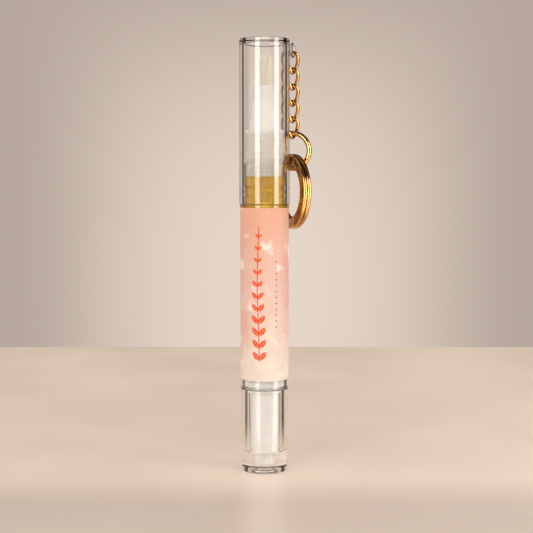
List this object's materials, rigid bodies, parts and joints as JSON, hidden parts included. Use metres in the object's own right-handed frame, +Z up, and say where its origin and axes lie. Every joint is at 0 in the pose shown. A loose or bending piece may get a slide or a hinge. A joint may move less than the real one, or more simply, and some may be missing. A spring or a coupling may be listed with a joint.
{
  "type": "twist-up brush pen on a keyring",
  "caption": "Twist-up brush pen for cuticle oil with a clear push-on cap, hung by a short curb chain and a jump ring from a split key ring.",
  "frame": {"origin": "centre of the turning knob's flat foot, on the pen's axis", "axes": "+Z up the pen's axis towards the cap's closed top, -Y towards the camera of the picture, so the chain hangs at +X and a little behind"},
  "size_m": [0.0185, 0.0209, 0.1101],
  "materials": {
    "clear_plastic": "clear, polished",
    "frosted_plastic": "milky, frosted",
    "white_plastic": "white, satin",
    "label_film": "satin film in a peach, pink and cream wash",
    "oil": "clear yellow oil",
    "bristle": "cream nylon",
    "gold_metal": "polished, gold coloured"
  },
  "bodies": {
    "barrel_body": {"barrel": "clear_plastic", "label": "label_film", "nozzle": "frosted_plastic", "feed_tube": "frosted_plastic", "brush": "bristle", "oil": "oil", "thread_nut": "white_plastic", "ratchet_ring": "white_plastic"},
    "knob_body": {"knob": "clear_plastic", "drive_sleeve": "white_plastic"},
    "rod_body": {"threaded_rod": "white_plastic"},
    "piston_body": {"piston": "white_plastic"},
    "cap_body": {"cap": "clear_plastic"},
    "link_1_body": {"chain_link_1": "gold_metal"},
    "link_2_body": {"chain_link_2": "gold_metal"},
    "link_3_body": {"chain_link_3": "gold_metal"},
    "link_4_body": {"chain_link_4": "gold_metal"},
    "link_5_body": {"chain_link_5": "gold_metal"},
    "jump_ring_body": {"jump_ring": "gold_metal"},
    "split_ring_body": {"split_ring": "gold_metal"}
  },
  "joints": [
    {"name": "knob_twist", "type": "hinge", "parent": "barrel_body", "child": "knob_body", "pos_m": [0, 0, 0], "axis": [0, 0, 1], "range_deg": [0, 4320]},
    {"name": "rod_feed", "type": "slide", "parent": "knob_body", "child": "rod_body", "axis": [0, 0, 1], "range_m": [0, 0.024]},
    {"name": "piston_feed", "type": "slide", "parent": "barrel_body", "child": "piston_body", "axis": [0, 0, 1], "range_m": [0, 0.024], "deforming": ["oil"]},
    {"name": "cap_slide", "type": "slide", "parent": "barrel_body", "child": "cap_body", "axis": [0, 0, 1], "range_m": [0, 0.045]},
    {"name": "link_1_swing", "type": "hinge", "parent": "cap_body", "child": "link_1_body", "pos_m": [0.00715, 0.00522, 0.10734], "axis": [0.9511, -0.309, 0], "range_deg": [0, 28]},
    {"name": "link_2_swing", "type": "hinge", "parent": "link_1_body", "child": "link_2_body", "pos_m": [0.00715, 0.00522, 0.10319], "axis": [0.9511, -0.309, 0], "range_deg": [0, 24]},
    {"name": "link_3_swing", "type": "hinge", "parent": "link_2_body", "child": "link_3_body", "pos_m": [0.00715, 0.00522, 0.09904], "axis": [0.9511, -0.309, 0], "range_deg": [0, 24]},
    {"name": "link_4_swing", "type": "hinge", "parent": "link_3_body", "child": "link_4_body", "pos_m": [0.00715, 0.00522, 0.09391], "axis": [0.309, 0.9511, 0], "range_deg": [-24, 0]},
    {"name": "link_5_swing", "type": "hinge", "parent": "link_4_body", "child": "link_5_body", "pos_m": [0.00715, 0.00522, 0.09075], "axis": [0.9511, -0.309, 0], "range_deg": [0, 24]},
    {"name": "jump_ring_swing", "type": "hinge", "parent": "link_5_body", "child": "jump_ring_body", "pos_m": [0.00715, 0.00522, 0.08561], "axis": [-0.309, -0.9511, 0], "range_deg": [0, 30]},
    {"name": "split_ring_swing", "type": "hinge", "parent": "jump_ring_body", "child": "split_ring_body", "pos_m": [0.00715, 0.00522, 0.07769], "axis": [0.9511, -0.309, 0], "range_deg": [0, 25]}
  ],
  "couplings": [
    {"joint": "knob_twist", "follows": "piston_feed", "rad_per_m": 3141.6},
    {"joint": "rod_feed", "follows": "piston_feed", "ratio": 1}
  ]
}
